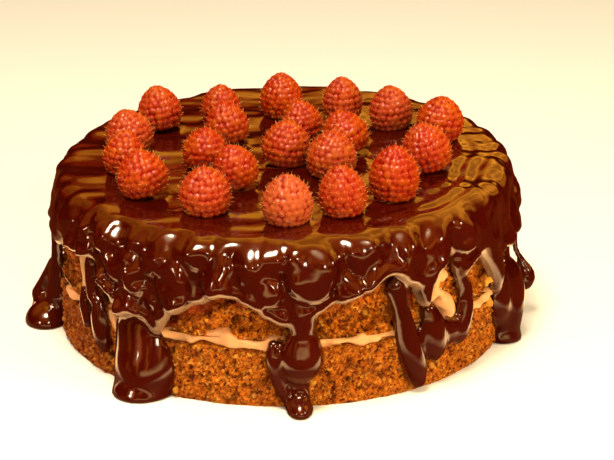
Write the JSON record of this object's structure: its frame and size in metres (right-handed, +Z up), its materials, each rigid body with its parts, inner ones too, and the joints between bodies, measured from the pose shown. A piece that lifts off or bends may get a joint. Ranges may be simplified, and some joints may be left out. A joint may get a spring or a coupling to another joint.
{
  "type": "chocolate torte",
  "caption": "Round two-layer crumb torte with a cream filling, glossy poured ganache that drips down the side, and fresh raspberries on top.",
  "frame": {"origin": "middle of the underside, where the torte rests", "axes": "+Z up, -Y is the front of the torte as pictured, +X to the right seen from the front"},
  "size_m": [0.2294, 0.217, 0.1],
  "materials": {
    "crumb": "rough orange-brown baked nut and cocoa crumb",
    "cream": "soft matt pinkish cream",
    "ganache": "very glossy dark brown chocolate glaze",
    "raspberry": "satin red fruit skin with a small highlight on each drupelet"
  },
  "bodies": {
    "root": {"torte_lower": "crumb", "cream_filling": "cream", "torte_upper": "crumb", "ganache": "ganache", "raspberry_01": "raspberry", "raspberry_02": "raspberry", "raspberry_03": "raspberry", "raspberry_04": "raspberry", "raspberry_05": "raspberry", "raspberry_06": "raspberry", "raspberry_07": "raspberry", "raspberry_08": "raspberry", "raspberry_09": "raspberry", "raspberry_10": "raspberry", "raspberry_11": "raspberry", "raspberry_12": "raspberry", "raspberry_13": "raspberry", "raspberry_14": "raspberry", "raspberry_15": "raspberry", "raspberry_16": "raspberry", "raspberry_17": "raspberry", "raspberry_18": "raspberry", "raspberry_19": "raspberry", "raspberry_20": "raspberry", "raspberry_21": "raspberry"}
  },
  "joints": []
}
